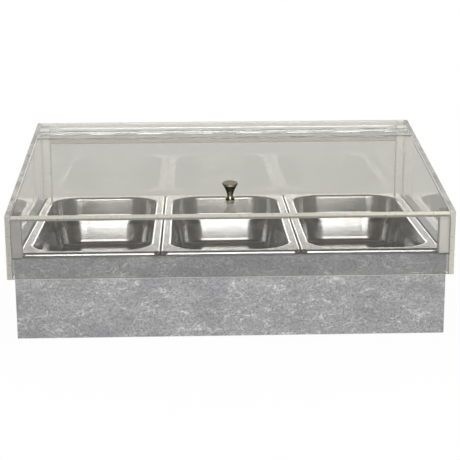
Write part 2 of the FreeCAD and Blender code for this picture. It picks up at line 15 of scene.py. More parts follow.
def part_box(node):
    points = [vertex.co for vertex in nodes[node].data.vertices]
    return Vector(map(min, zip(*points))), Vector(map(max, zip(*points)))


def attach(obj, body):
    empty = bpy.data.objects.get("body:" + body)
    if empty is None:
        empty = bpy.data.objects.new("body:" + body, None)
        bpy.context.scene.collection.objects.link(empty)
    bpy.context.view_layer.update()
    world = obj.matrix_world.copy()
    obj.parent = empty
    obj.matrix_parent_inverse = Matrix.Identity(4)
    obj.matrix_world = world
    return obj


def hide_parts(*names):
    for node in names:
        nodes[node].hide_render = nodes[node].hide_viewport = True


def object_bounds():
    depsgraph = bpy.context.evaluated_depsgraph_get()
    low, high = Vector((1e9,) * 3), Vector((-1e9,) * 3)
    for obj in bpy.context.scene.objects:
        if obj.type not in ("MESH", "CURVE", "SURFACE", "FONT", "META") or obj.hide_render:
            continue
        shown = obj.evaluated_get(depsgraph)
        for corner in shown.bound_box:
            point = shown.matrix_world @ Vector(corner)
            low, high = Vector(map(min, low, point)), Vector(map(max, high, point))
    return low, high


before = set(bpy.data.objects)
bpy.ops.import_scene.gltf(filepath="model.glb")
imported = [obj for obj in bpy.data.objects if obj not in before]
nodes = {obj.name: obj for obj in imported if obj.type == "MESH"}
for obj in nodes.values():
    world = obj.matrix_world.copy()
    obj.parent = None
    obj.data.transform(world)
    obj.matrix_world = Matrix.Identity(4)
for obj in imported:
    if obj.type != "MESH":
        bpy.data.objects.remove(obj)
cad_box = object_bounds()
print("loaded", len(nodes), "pieces, box", [tuple(round(v, 4) for v in corner) for corner in cad_box])

# %% [markdown]
# ## Helpers for every finish
# Colours are written as the hex values that a paint chart or a picture editor shows, and Blender's shaders
# want linear light, so one function converts them. Pattern sizes are written in millimetres, and one function
# turns them into the scale that a texture node wants. One function adds a node, with its settings and its
# links, so that each finish below reads as a list of what it is made of.

# %% Colour, size and node helpers
MM = 0.001


def linear(hex_colour):
    """The linear RGBA of an sRGB hex colour."""
    parts = [int(hex_colour[i:i + 2], 16) / 255 for i in (1, 3, 5)]
    return (*[p / 12.92 if p <= 0.04045 else ((p + 0.055) / 1.055) ** 2.4 for p in parts], 1.0)


def per_size(millimetres):
    """Texture scale that gives a pattern features of this size."""
    return 1 / (millimetres * MM)


def add(tree, kind, inputs=None, **settings):
    """Adds a node: settings are its properties, and inputs are values or sockets to link."""
    made = tree.nodes.new(kind)
    for name, setting in settings.items():
        setattr(made, name, setting)
    for key, source in (inputs or {}).items():
        if isinstance(source, bpy.types.NodeSocket):
            tree.links.new(source, made.inputs[key])
        else:
            made.inputs[key].default_value = source
    return made


def new_material(name):
    """An empty material with its tree and its output node."""
    made = bpy.data.materials.new(name)
    made.use_nodes = True
    made.node_tree.nodes.clear()
    return made, made.node_tree, add(made.node_tree, "ShaderNodeOutputMaterial")


def dress(material, *names):
    """Gives construction pieces this finish."""
    for name in names:
        piece = nodes[name]
        piece.data.materials.clear()
        piece.data.materials.append(material)
    print(material.name, "on", len(names), "pieces")


print("helpers ready: mid grey is", round(linear("#808080")[0], 3), "in linear light")

# %% [markdown]
# ## Stone print
# The box is board faced with a printed laminate that looks like grey limestone: soft clouds, thin curls of
# lighter vein that lean to the right, and fine dark grain. A scanned picture would be one way, but noise on
# Object coordinates runs on over every corner without a seam. A vein is drawn where a smooth noise crosses
# its middle value, which gives a line, and the clouds and the mottle break that line up.

# %% Print of the laminate
CLOUD_SIZE = 42
MOTTLE_SIZE = 5.5
GRAIN_SIZE = 2.8
VEIN_LEAN = math.radians(24)
LEAN_STRETCH = (0.7, 1, 1.3)
CLOUD_SHARE = (0.12, 0.88)
BODY_RANGE = (0.7, 1.34)
STONE_DARK, STONE_LIGHT = "#7f7f83", "#b5b5b7"
# Curls and finer threads: size in millimetres, width as a share of the noise, strength, and noise detail.
VEINS = ((36, 0.017, 0.95, 3), (15, 0.03, 0.65, 2))
VEIN_BREAKS = (0.92, 1.14)
VEIN_COLOUR = "#dededf"
GRAIN_RANGE = (0.52, 0.3)
GRAIN_SHARE = 0.75
GRAIN_COLOUR = "#5f5e61"


def stone_print(tree, place):
    """The colour of the print, with the mottle and the grain that it is made of."""
    lean = add(tree, "ShaderNodeMapping",
               {"Vector": place, "Rotation": (0, VEIN_LEAN, 0), "Scale": LEAN_STRETCH}).outputs[0]
    clouds = add(tree, "ShaderNodeTexNoise",
                 {"Vector": lean, "Scale": per_size(CLOUD_SIZE), "Detail": 4, "Roughness": 0.6}).outputs[0]
    mottle = add(tree, "ShaderNodeTexNoise",
                 {"Vector": lean, "Scale": per_size(MOTTLE_SIZE), "Detail": 6, "Roughness": 0.78,
                  "Distortion": 1.1}).outputs[0]
    grain = add(tree, "ShaderNodeTexNoise",
                {"Vector": place, "Scale": per_size(GRAIN_SIZE), "Detail": 2, "Roughness": 0.8}).outputs[0]
    faint = add(tree, "ShaderNodeMapRange",
                {"Value": clouds, "To Min": CLOUD_SHARE[0], "To Max": CLOUD_SHARE[1]}).outputs[0]
    both = add(tree, "ShaderNodeMath", {0: faint, 1: mottle}, operation="ADD").outputs[0]
    body = add(tree, "ShaderNodeMapRange",
               {"Value": both, "From Min": BODY_RANGE[0], "From Max": BODY_RANGE[1]}).outputs[0]
    colour = add(tree, "ShaderNodeMix", {0: body, 6: linear(STONE_DARK), 7: linear(STONE_LIGHT)},
                 data_type="RGBA").outputs[2]
    broken = add(tree, "ShaderNodeMapRange",
                 {"Value": both, "From Min": VEIN_BREAKS[0], "From Max": VEIN_BREAKS[1]}).outputs[0]
    for size, width, strength, detail in VEINS:
        wander = add(tree, "ShaderNodeTexNoise",
                     {"Vector": lean, "Scale": per_size(size), "Detail": detail, "Roughness": 0.55,
                      "Distortion": 1.0}).outputs[0]
        away = add(tree, "ShaderNodeMath", {0: wander, 1: 0.5}, operation="SUBTRACT").outputs[0]
        off_line = add(tree, "ShaderNodeMath", {0: away}, operation="ABSOLUTE").outputs[0]
        line = add(tree, "ShaderNodeMapRange",
                   {"Value": off_line, "From Min": 0, "From Max": width, "To Min": strength,
                    "To Max": 0}).outputs[0]
        vein = add(tree, "ShaderNodeMath", {0: line, 1: broken}, operation="MULTIPLY").outputs[0]
        colour = add(tree, "ShaderNodeMix", {0: vein, 6: colour, 7: linear(VEIN_COLOUR)},
                     data_type="RGBA").outputs[2]
    speck = add(tree, "ShaderNodeMapRange",
                {"Value": grain, "From Min": GRAIN_RANGE[0], "From Max": GRAIN_RANGE[1], "To Min": 0,
                 "To Max": GRAIN_SHARE}).outputs[0]
    colour = add(tree, "ShaderNodeMix", {0: speck, 6: colour, 7: linear(GRAIN_COLOUR)},
                 data_type="RGBA").outputs[2]
    return colour, mottle, grain


print("stone print with", len(VEINS), "kinds of vein and clouds of", CLOUD_SIZE, "mm")

# %% [markdown]
# ## Laminate on the boards
# The laminate wraps a little over the boards' top edge. Further in, by the pan rims, the sawn board is sealed
# dark brown, and this dark band also stands in for the shade under the rims: it is partly painted shade. A
# second material there would need faces of its own in the construction mesh, so steps on height and on the
# distance from the middle paint the sealed board and its painted shade into the same finish.

# %% Boards of the box
SEAL_AND_SHADE_DROP = 0.7 * MM
EDGE_WRAP = 7 * MM
SEALED_BOARD_AND_SHADE_COLOUR = "#453a38"
LAMINATE_ROUGH = (0.42, 0.62)
board_low, board_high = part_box("base_front_panel")


def stone_laminate():
    made, tree, output = new_material("Stone_print_laminate")
    place = add(tree, "ShaderNodeTexCoord").outputs["Object"]
    printed, mottle, grain = stone_print(tree, place)
    reach = add(tree, "ShaderNodeVectorMath", {0: place}, operation="ABSOLUTE").outputs[0]
    parts = add(tree, "ShaderNodeSeparateXYZ", {0: reach}).outputs
    # The dark brown top by the pan rims: sealed board, and partly painted shade under the rims.
    sealed_and_shaded = add(tree, "ShaderNodeMath", {0: parts["Z"], 1: board_high.z - SEAL_AND_SHADE_DROP},
                 operation="GREATER_THAN").outputs[0]
    for side, wrap in (("X", board_high.x - EDGE_WRAP), ("Y", -board_low.y - EDGE_WRAP)):
        within = add(tree, "ShaderNodeMath", {0: parts[side], 1: wrap}, operation="LESS_THAN").outputs[0]
        sealed_and_shaded = add(tree, "ShaderNodeMath", {0: sealed_and_shaded, 1: within}, operation="MULTIPLY").outputs[0]
    faced = add(tree, "ShaderNodeMix", {0: sealed_and_shaded, 6: printed, 7: linear(SEALED_BOARD_AND_SHADE_COLOUR)},
                data_type="RGBA").outputs[2]
    rough = add(tree, "ShaderNodeMapRange",
                {"Value": mottle, "To Min": LAMINATE_ROUGH[0], "To Max": LAMINATE_ROUGH[1]}).outputs[0]
    bump = add(tree, "ShaderNodeBump", {"Strength": 0.12, "Distance": 0.2 * MM, "Height": grain}).outputs[0]
    shader = add(tree, "ShaderNodeBsdfPrincipled",
                 {"Base Color": faced, "Roughness": rough, "Normal": bump, "IOR": 1.5})
    tree.links.new(shader.outputs[0], output.inputs["Surface"])
    return made


# Grey with pale curls: it reads as limestone, too even in its gloss to be cut stone.
dress(stone_laminate(), "base_front_panel", "base_back_panel", "base_left_panel", "base_right_panel")

# %% [markdown]
# ## Satin stainless steel
# The pans are deep-drawn from stainless sheet and brushed to a satin. That gives a bright metal whose
# highlights are drawn out a little sideways round the bowl. A full anisotropic shader would need tangents
# that follow the walls, so a fine streak in the roughness, stretched along each wall, stands for the
# brushing. The real scratches are far finer: they are drawn coarser so that they show.

# %% Pan finish
STREAK_SIZE = 2.5
STREAK_STRETCH = 0.03
HANDLING_SIZE = 35
STREAK_RANGE = (0.12, 0.4)
ROUGH_SPREAD = (0.75, 1.3)


def satin_steel(name, colour, rough):
    made, tree, output = new_material(name)
    place = add(tree, "ShaderNodeTexCoord").outputs["Object"]
    drawn = add(tree, "ShaderNodeMapping",
                {"Vector": place, "Scale": (STREAK_STRETCH, STREAK_STRETCH, 1)}).outputs[0]
    streak = add(tree, "ShaderNodeTexNoise",
                 {"Vector": drawn, "Scale": per_size(STREAK_SIZE), "Detail": 3, "Roughness": 0.7}).outputs[0]
    handled = add(tree, "ShaderNodeTexNoise",
                  {"Vector": place, "Scale": per_size(HANDLING_SIZE), "Detail": 3}).outputs[0]
    both = add(tree, "ShaderNodeMath", {0: streak, 1: handled}, operation="MULTIPLY").outputs[0]
    gloss = add(tree, "ShaderNodeMapRange",
                {"Value": both, "From Min": STREAK_RANGE[0], "From Max": STREAK_RANGE[1],
                 "To Min": rough * ROUGH_SPREAD[0], "To Max": rough * ROUGH_SPREAD[1]}).outputs[0]
    bump = add(tree, "ShaderNodeBump",
               {"Strength": 0.015, "Distance": 0.05 * MM, "Height": streak}).outputs[0]
    shader = add(tree, "ShaderNodeBsdfPrincipled",
                 {"Base Color": linear(colour), "Metallic": 1, "Roughness": gloss, "Normal": bump})
    tree.links.new(shader.outputs[0], output.inputs["Surface"])
    return made


# Bright and faintly streaked metal, which blurs the lamps into soft bands.
dress(satin_steel("Satin_stainless_steel", "#d2d1cf", 0.18), "pan_left", "pan_middle", "pan_right")

# %% [markdown]
# ## Edges of the acrylic
# The hood is cut from cast acrylic sheet and glued at its corners to small sanded bars. The sawn edges
# scatter light and look like pale cream. Towards the right they are painted lighter, which is painted light,
# as if more light fell on the right. Edges that face up or sideways get a tone by the way they face, which is
# painted light and shade; those that slope up the sides are a plainer grey with light and dark nicks, partly
# chips and partly painted glints. The foot of the lid's edge is painted darker, a painted shade, so the
# bright line is thinner than the sheet, and the front bars have a dark joint at their foot. A scattering
# volume in each sheet could give that look, but it settles slowly, so the edges get tones of their own. Each
# tone is placed by steps on height, reach or direction.

# %% Edge tones
lid_faces = nodes["lid_panel"].data.polygons
lid_up = max((face for face in lid_faces if face.normal.z > 0), key=lambda face: face.area).normal.copy()
lid_slope = math.atan2(-lid_up.y, lid_up.z)
lid_level = min(corner.co.dot(lid_up) for corner in nodes["lid_panel"].data.vertices)
SHEET_FACING = {"side": (1, 0, 0), "front": (0, 1, 0), "lid": lid_up, "bar": (0, 0, 1)}
# Edges turn to their right tone across this span in x: painted light, lighter on the right.
RIGHT_PAINTED_LIGHT_SPAN = (80 * MM, 250 * MM)
# The foot tone is painted shade at the foot of the lid's edge and a dark joint at the foot of the front bars.
FOOT_LEVEL = {"lid": lid_level, "bar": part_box("front_bar_left")[0].z}
FOOT_DEPTH = (1.2 * MM, 2.2 * MM)
# Edges that face up or sideways get the flank tone, which is painted light and shade by the way they face.
# Its nicks are partly chips and partly painted glints.
NICK_AND_GLINT_SIZE = 30
NICK_AND_GLINT_RANGE = (0.36, 0.64)
FLANK_TURN = 0.5


def edge_tone(tree, coords, sheet, sawn, right=None, foot=None, flank=None):
    """Colour of the edges: sawn, then painted light to the right and a foot tone (painted shade on the lid, a
    dark joint on the bars) where given, and flank tones of painted light and shade.
    """
    tone = linear(sawn)
    # Lighter towards the right: painted light.
    if right:
        along = add(tree, "ShaderNodeSeparateXYZ", {0: coords["Object"]}).outputs["X"]
        share = add(tree, "ShaderNodeMapRange",
                    {"Value": along, "From Min": RIGHT_PAINTED_LIGHT_SPAN[0], "From Max": RIGHT_PAINTED_LIGHT_SPAN[1]}).outputs[0]
        tone = add(tree, "ShaderNodeMix", {0: share, 6: tone, 7: linear(right)}, data_type="RGBA").outputs[2]
    # Darker at the foot: painted shade on the lid, a dark joint on the bars.
    if foot:
        level = add(tree, "ShaderNodeVectorMath", {0: coords["Object"], 1: SHEET_FACING[sheet]},
                    operation="DOT_PRODUCT").outputs["Value"]
        share = add(tree, "ShaderNodeMapRange",
                    {"Value": level, "From Min": FOOT_LEVEL[sheet] + FOOT_DEPTH[1],
                     "From Max": FOOT_LEVEL[sheet] + FOOT_DEPTH[0]}).outputs[0]
        tone = add(tree, "ShaderNodeMix", {0: share, 6: tone, 7: linear(foot)}, data_type="RGBA").outputs[2]
    # Flank tone by the way an edge faces: painted light and shade, with nicks that are partly chips and
    # partly painted glints.
    if flank:
        painted_flank_tone = linear(flank[0])
        if len(flank) > 1:
            nick_and_glint_noise = add(tree, "ShaderNodeTexNoise",
                       {"Vector": coords["Object"], "Scale": per_size(NICK_AND_GLINT_SIZE), "Detail": 3}).outputs[0]
            nick_and_glint = add(tree, "ShaderNodeMapRange",
                       {"Value": nick_and_glint_noise, "From Min": NICK_AND_GLINT_RANGE[0], "From Max": NICK_AND_GLINT_RANGE[1]}).outputs[0]
            painted_flank_tone = add(tree, "ShaderNodeMix", {0: nick_and_glint, 6: painted_flank_tone, 7: linear(flank[1])},
                       data_type="RGBA").outputs[2]
        parts = add(tree, "ShaderNodeSeparateXYZ", {0: coords["Normal"]}).outputs
        sideways = add(tree, "ShaderNodeMath", {0: parts["X"]}, operation="ABSOLUTE").outputs[0]
        either = add(tree, "ShaderNodeMath", {0: sideways, 1: parts["Z"]}, operation="MAXIMUM").outputs[0]
        share = add(tree, "ShaderNodeMath", {0: either, 1: FLANK_TURN}, operation="GREATER_THAN").outputs[0]
        tone = add(tree, "ShaderNodeMix", {0: share, 6: tone, 7: painted_flank_tone}, data_type="RGBA").outputs[2]
    return tone


print("the lid slopes", round(math.degrees(lid_slope), 2), "degrees")

# %% [markdown]
# ## Acrylic sheets
# The sheets' faces are polished and only slightly grey. One plain glass shader would do for them, but not for
# their edges. Those are found from the angle between the surface and the sheet's own direction, which turns
# with the lid, so the construction mesh stays whole.
#
# Light that bends through glass-like solids can't be sampled towards lamps, so shadow rays meet a plain
# see-through shader instead.

# %% Acrylic finish
ACRYLIC_IOR = 1.49
EDGE_TURN = 0.8
SMEAR_SIZE = 60
SMEAR_RANGE = (0.5, 0.8)
SMEAR_ROUGH = 0.04
SAW_SIZE = 3
SAW_SPREAD = (0.6, 1.4)


def clear_acrylic(name, sheet, face, sawn, scatter, saw_rough=0.3, **tones):
    """Clear sheet: scatter is the share of light that its edges don't let through."""
    made, tree, output = new_material(name)
    coords = add(tree, "ShaderNodeTexCoord").outputs
    across = add(tree, "ShaderNodeVectorMath", {0: coords["Normal"], 1: SHEET_FACING[sheet]},
                 operation="DOT_PRODUCT").outputs["Value"]
    turned = add(tree, "ShaderNodeMath", {0: across}, operation="ABSOLUTE").outputs[0]
    edge = add(tree, "ShaderNodeMath", {0: turned, 1: EDGE_TURN}, operation="LESS_THAN").outputs[0]
    smear = add(tree, "ShaderNodeTexNoise",
                {"Vector": coords["Object"], "Scale": per_size(SMEAR_SIZE), "Detail": 4}).outputs[0]
    clean = add(tree, "ShaderNodeMapRange",
                {"Value": smear, "From Min": SMEAR_RANGE[0], "From Max": SMEAR_RANGE[1], "To Min": 0.0,
                 "To Max": SMEAR_ROUGH}).outputs[0]
    saw = add(tree, "ShaderNodeTexNoise",
              {"Vector": coords["Object"], "Scale": per_size(SAW_SIZE), "Detail": 2}).outputs[0]
    scraped = add(tree, "ShaderNodeMapRange",
                  {"Value": saw, "To Min": saw_rough * SAW_SPREAD[0],
                   "To Max": saw_rough * SAW_SPREAD[1]}).outputs[0]
    rough = add(tree, "ShaderNodeMix", {0: edge, 2: clean, 3: scraped}, data_type="FLOAT").outputs[0]
    colour, through = linear(face), 1
    if sawn != face:
        tone = edge_tone(tree, coords, sheet, sawn, **tones)
        colour = add(tree, "ShaderNodeMix", {0: edge, 6: colour, 7: tone}, data_type="RGBA").outputs[2]
    if scatter:
        through = add(tree, "ShaderNodeMapRange",
                      {"Value": edge, "To Min": 1, "To Max": 1 - scatter}).outputs[0]
    shader = add(tree, "ShaderNodeBsdfPrincipled",
                 {"Base Color": colour, "Roughness": rough, "IOR": ACRYLIC_IOR,
                  "Transmission Weight": through})
    passing = add(tree, "ShaderNodeBsdfTransparent", {"Color": linear(face)})
    shadow = add(tree, "ShaderNodeLightPath").outputs["Is Shadow Ray"]
    mixed = add(tree, "ShaderNodeMixShader", {0: shadow, 1: shader.outputs[0], 2: passing.outputs[0]})
    tree.links.new(mixed.outputs[0], output.inputs["Surface"])
    return made


print("acrylic bends light by", ACRYLIC_IOR)

# %% [markdown]
# ## Pieces of the hood
# The clear pieces share one stuff, but they don't look alike: some sheets are greyer than others, the front
# bars are sanded and the hinge is extruded. One finish for all would be shorter. Here each kind has its own
# tint and edges, so that the box shows through the front, and the hinge through the strip.

# %% Sheets, bars and hinge
# Almost clear, with a dull cream front edge that outlines the hood. The right sheet's edge is painted
# lighter, as painted light, and the sloping top edges get a painted tone of light and shade with nicks.
dress(clear_acrylic("Cast_acrylic_side", "side", "#f0efec", "#b0aea5", 0.85, right="#c8c6b9",
                    flank=("#b4b3af", "#e4e4e0")),
      "hood_left_side", "hood_right_side")
# Slightly grey, so the stone behind it looks darker than the stone below it.
# Its top and end edges get a darker grey flank tone: painted shade.
dress(clear_acrylic("Cast_acrylic_front", "front", "#dadad9", "#ffffff", 0.95, flank=("#9a9994",)),
      "hood_front_panel")
# The pale veil that stands behind the pans.
dress(clear_acrylic("Cast_acrylic_back", "front", "#e6e5e1", "#f4f3ee", 0.6),
      "hood_back_panel", "hood_rear_rail")
# The widest sheet: it greys the pans under it and ends in a thin bright line. That line is painted lighter
# towards the right, as painted light, and darker at its foot, as painted shade.
dress(clear_acrylic("Cast_acrylic_top", "lid", "#dad9d5", "#cfccc3", 0.85, right="#efe8d8", foot="#a6a49d",
                    flank=("#cbcac6",)),
      "lid_panel")
# The clearest sheet, through which the hinge leaf shows.
dress(clear_acrylic("Cast_acrylic_strip", "lid", "#fafaf8", "#f4f3ee", 0.5), "hood_top_strip")
# Sanded all round: soft grey uprights in the front corners, with a dark joint at the foot. The right one is
# painted lighter, as painted light.
dress(clear_acrylic("Sanded_acrylic_bar", "bar", "#e0dfdc", "#c9c6c5", 0.5, 0.35, right="#fbf9f2",
                    foot="#3a3331", flank=("#c9c6c5",)),
      "front_bar_left", "front_bar_right")
# Clearer than the front bars: light uprights against the veil.
dress(clear_acrylic("Sanded_acrylic_rear_bar", "bar", "#fcfcfa", "#fcfcfa", 0.05),
      "rear_bar_left", "rear_bar_right")
# Clear and round: the knuckles only show as ripples of bright and dark.
dress(clear_acrylic("Extruded_clear_hinge", "lid", "#fbfbfa", "#fbfbfa", 0, 0),
      "hinge_fixed_leaf", "hinge_moving_leaf", "hinge_pin")

# %% [markdown]
# ## Knob
# The knob is turned steel with a warm, darkened lacquer, and fine rings from the lathe run round it. They
# could be cut into the shape, but they are far too shallow for that. A wave texture on the distance from the
# knob's axis draws them, coarser than the real ones so that they show.

# %% Turned knob
RING_SIZE = 0.9
RING_SPREAD = (0.8, 1.2)
WAVE_FACTOR = 20  # Blender's wave texture multiplies its scale by this.
knob_low, knob_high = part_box("lid_knob")


def turned_steel(name, colour, rough, axis_place, tilt):
    made, tree, output = new_material(name)
    place = add(tree, "ShaderNodeTexCoord").outputs["Object"]
    centred = add(tree, "ShaderNodeMapping",
                  {"Vector": place, "Location": axis_place, "Rotation": (tilt, 0, 0)}, vector_type="TEXTURE")
    rings = add(tree, "ShaderNodeTexWave",
                {"Vector": centred.outputs[0], "Scale": per_size(RING_SIZE) / WAVE_FACTOR,
                 "Distortion": 0.4, "Detail": 1},
                wave_type="RINGS", rings_direction="Z").outputs["Fac"]
    gloss = add(tree, "ShaderNodeMapRange",
                {"Value": rings, "To Min": rough * RING_SPREAD[0],
                 "To Max": rough * RING_SPREAD[1]}).outputs[0]
    bump = add(tree, "ShaderNodeBump",
               {"Strength": 0.08, "Distance": 0.05 * MM, "Height": rings}).outputs[0]
    shader = add(tree, "ShaderNodeBsdfPrincipled",
                 {"Base Color": linear(colour), "Metallic": 1, "Roughness": gloss, "Normal": bump})
    tree.links.new(shader.outputs[0], output.inputs["Surface"])
    return made


# Warm dark metal with one narrow highlight down its waist.
dress(turned_steel("Lacquered_turned_steel", "#a09886", 0.16, (knob_low + knob_high) / 2, lid_slope),
      "lid_knob")

# %% [markdown]
# ## Feet and inner pieces
# The feet are moulded rubber, and what lies under the pans is foam, board and blow-moulded plastic. Each
# could have its own network, but all are plain stuffs whose colour and shine vary only a little, so one
# function with two near tones, a grain size and a roughness serves for all.

# %% Rubber, foam, board and plastic
ROUGH_DRIFT = 0.08


def speckled(name, dark, light, size, rough, bump_height):
    """Plain moulded, foamed or pressed stuff: two near tones in a fine mottle, with a slight bump."""
    made, tree, output = new_material(name)
    place = add(tree, "ShaderNodeTexCoord").outputs["Object"]
    mottle = add(tree, "ShaderNodeTexNoise",
                 {"Vector": place, "Scale": per_size(size), "Detail": 4}).outputs[0]
    colour = add(tree, "ShaderNodeMix", {0: mottle, 6: linear(dark), 7: linear(light)},
                 data_type="RGBA").outputs[2]
    gloss = add(tree, "ShaderNodeMapRange",
                {"Value": mottle, "To Min": rough - ROUGH_DRIFT, "To Max": rough + ROUGH_DRIFT}).outputs[0]
    bump = add(tree, "ShaderNodeBump",
               {"Strength": 0.3, "Distance": bump_height * MM, "Height": mottle}).outputs[0]
    shader = add(tree, "ShaderNodeBsdfPrincipled",
                 {"Base Color": colour, "Roughness": gloss, "Normal": bump})
    tree.links.new(shader.outputs[0], output.inputs["Surface"])
    return made


# Cooler and flatter metal than the pans.
dress(satin_steel("Zinc_plated_steel", "#b9bcc0", 0.25), "knob_screw", "foot_screws")
# Dull and nearly black, so the box seems to float a little.
dress(speckled("Moulded_rubber", "#161616", "#262626", 2, 0.75, 0.1), "rubber_feet")
# Pale and dull, with fine cells.
dress(speckled("Closed_cell_foam", "#c3ccd4", "#e4e9ee", 1.5, 0.85, 0.2), "floor_insulation")
# Plain brown board.
dress(speckled("Sealed_board", "#4a3d36", "#5d4d44", 6, 0.7, 0.1), "base_floor_panel")
# Strong blue with a soft shine, seen once a pan is out.
dress(speckled("Blow_moulded_blue", "#2b62a8", "#3a74bb", 9, 0.45, 0.1),
      "cool_pack_left", "cool_pack_middle", "cool_pack_right")
# Clean white stoppers on the blue.
dress(speckled("Moulded_white", "#dfe3e8", "#f2f4f6", 6, 0.45, 0.1),
      "cool_pack_left_cap", "cool_pack_middle_cap", "cool_pack_right_cap")
# Milky ring between the screw and the lid.
dress(speckled("Natural_nylon", "#d9d8d2", "#e8e7e1", 3, 0.4, 0.05), "knob_washer")

# %% [markdown]
# ## One foot screw
# Each rubber foot is held by one countersunk screw with a cross recess, which only shows from below. A
# boolean cut would make the recess too, but drawing its outline twice, at the face and at the bottom, gives
# few and clean faces. The head and the shank are circles joined in turn.

# %% One foot screw
ROUND_STEPS = 32
HEAD_RADIUS = 3.6 * MM
HEAD_HEIGHT = 1.6 * MM
SHANK_RADIUS = 1.75 * MM
CROSS_REACH = 2.1 * MM
CROSS_HALF_WIDTH = 0.42 * MM
CROSS_DEPTH = 0.9 * MM
CROSS_TAPER = 0.8
screws_low, screws_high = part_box("foot_screws")
screw_steel = nodes["foot_screws"].data.materials[0]


def screw_mesh(material):
    """One screw, pointing up, with its head's face at z = 0 and the cross sunk into it."""
    form = bmesh.new()
    half = CROSS_HALF_WIDTH
    arm = [(half, half), (half, CROSS_REACH), (-half, CROSS_REACH)]
    outline = [Matrix.Rotation(turn * math.pi / 2, 2) @ Vector(corner) for turn in range(4) for corner in arm]
    top = [form.verts.new((x, y, 0)) for x, y in outline]
    sunk = [form.verts.new((x * CROSS_TAPER, y * CROSS_TAPER, CROSS_DEPTH)) for x, y in outline]
    count = len(outline)
    for i in range(count):
        form.faces.new([top[i], top[(i + 1) % count], sunk[(i + 1) % count], sunk[i]])
    form.faces.new(sunk)
    circles = []
    length = screws_high.z - screws_low.z
    for radius, height in ((HEAD_RADIUS, 0), (SHANK_RADIUS, HEAD_HEIGHT), (SHANK_RADIUS, length)):
        circles.append([form.verts.new((radius * math.cos(a), radius * math.sin(a), height))
                        for a in (2 * math.pi * k / ROUND_STEPS for k in range(ROUND_STEPS))])
    for low, high in zip(circles, circles[1:]):
        for i in range(ROUND_STEPS):
            form.faces.new([low[i], low[(i + 1) % ROUND_STEPS], high[(i + 1) % ROUND_STEPS], high[i]])
    form.faces.new(circles[-1])
    rim = [form.edges.get((circles[0][i], circles[0][(i + 1) % ROUND_STEPS])) for i in range(ROUND_STEPS)]
    inner = [form.edges.get((top[i], top[(i + 1) % count])) for i in range(count)]
    bmesh.ops.triangle_fill(form, edges=rim + inner, use_beauty=True)
    bmesh.ops.recalc_face_normals(form, faces=form.faces)
    mesh = bpy.data.meshes.new("one_screw")
    form.to_mesh(mesh)
    form.free()
    mesh.materials.append(material)
    return mesh


one_screw = bpy.data.objects.new("one_screw", screw_mesh(screw_steel))
bpy.context.scene.collection.objects.link(one_screw)
print("one screw,", len(one_screw.data.polygons), "faces")

# %% [markdown]
# ## Four foot screws
# The four screws are the same piece on a two by two grid, so Geometry Nodes place the modelled screw on the
# grid's points. Nobody lines screws up, so each copy gets its own turn from a fixed seed. Copying the object
# four times by hand would also work, but the grid follows the construction model's spacing.

# %% Grid of screws
def grid_tree(one, material):
    """Node group: copies of one object on a two by two grid, each with its own turn."""
    tree = bpy.data.node_groups.new("screws_on_grid", "GeometryNodeTree")
    tree.interface.new_socket("Geometry", in_out="OUTPUT", socket_type="NodeSocketGeometry")
    for name in ("Spacing X", "Spacing Y"):
        tree.interface.new_socket(name, in_out="INPUT", socket_type="NodeSocketFloat")
    tree.interface.new_socket("Seed", in_out="INPUT", socket_type="NodeSocketInt")
    entry = add(tree, "NodeGroupInput").outputs
    grid = add(tree, "GeometryNodeMeshGrid",
               {"Size X": entry["Spacing X"], "Size Y": entry["Spacing Y"], "Vertices X": 2, "Vertices Y": 2})
    piece = add(tree, "GeometryNodeObjectInfo", {"Object": one})
    turn = add(tree, "FunctionNodeRandomValue", {2: 0, 3: math.pi, "Seed": entry["Seed"]}, data_type="FLOAT")
    spin = add(tree, "ShaderNodeCombineXYZ", {"Z": turn.outputs[1]})
    copies = add(tree, "GeometryNodeInstanceOnPoints",
                 {"Points": grid.outputs["Mesh"], "Instance": piece.outputs["Geometry"],
                  "Rotation": spin.outputs[0]})
    real = add(tree, "GeometryNodeRealizeInstances", {0: copies.outputs[0]})
    painted = add(tree, "GeometryNodeSetMaterial", {"Geometry": real.outputs[0], "Material": material})
    add(tree, "NodeGroupOutput", {"Geometry": painted.outputs[0]})
    return tree


screw_grid = grid_tree(one_screw, screw_steel)
print("node tree", screw_grid.name, "with", len(screw_grid.nodes), "nodes")

# %% [markdown]
# ## Screws on the box
# The tree runs on an empty carrier, and its result becomes a plain mesh, so that the finished piece stands
# without its modifier. It could stay a live modifier in a film, but an exported model drops copies that
# are only placed. The new screws take the place of the construction model's plain ones.

# %% Screws on the box
SCREW_TURN_SEED = 5


def foot_screws():
    carrier = bpy.data.objects.new("carrier", bpy.data.meshes.new("carrier"))
    bpy.context.scene.collection.objects.link(carrier)
    modifier = carrier.modifiers.new("grid", "NODES")
    modifier.node_group = screw_grid
    wanted = {"Spacing X": screws_high.x - screws_low.x - 2 * HEAD_RADIUS,
              "Spacing Y": screws_high.y - screws_low.y - 2 * HEAD_RADIUS, "Seed": SCREW_TURN_SEED}
    for item in screw_grid.interface.items_tree:
        if item.in_out == "INPUT":
            modifier[item.identifier] = wanted[item.name]
    settled = carrier.evaluated_get(bpy.context.evaluated_depsgraph_get())
    mesh = bpy.data.meshes.new_from_object(settled)
    mesh.transform(Matrix.Translation((0, 0, screws_low.z)))
    carrier.modifiers.clear()
    for spare in (carrier, one_screw):
        bpy.data.objects.remove(spare)
    made = bpy.data.objects.new("cross_screws", mesh)
    bpy.context.scene.collection.objects.link(made)
    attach(made, "base")
    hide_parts("foot_screws")
    print("four foot screws,", len(mesh.polygons), "faces, materials", [m.name for m in mesh.materials])


foot_screws()

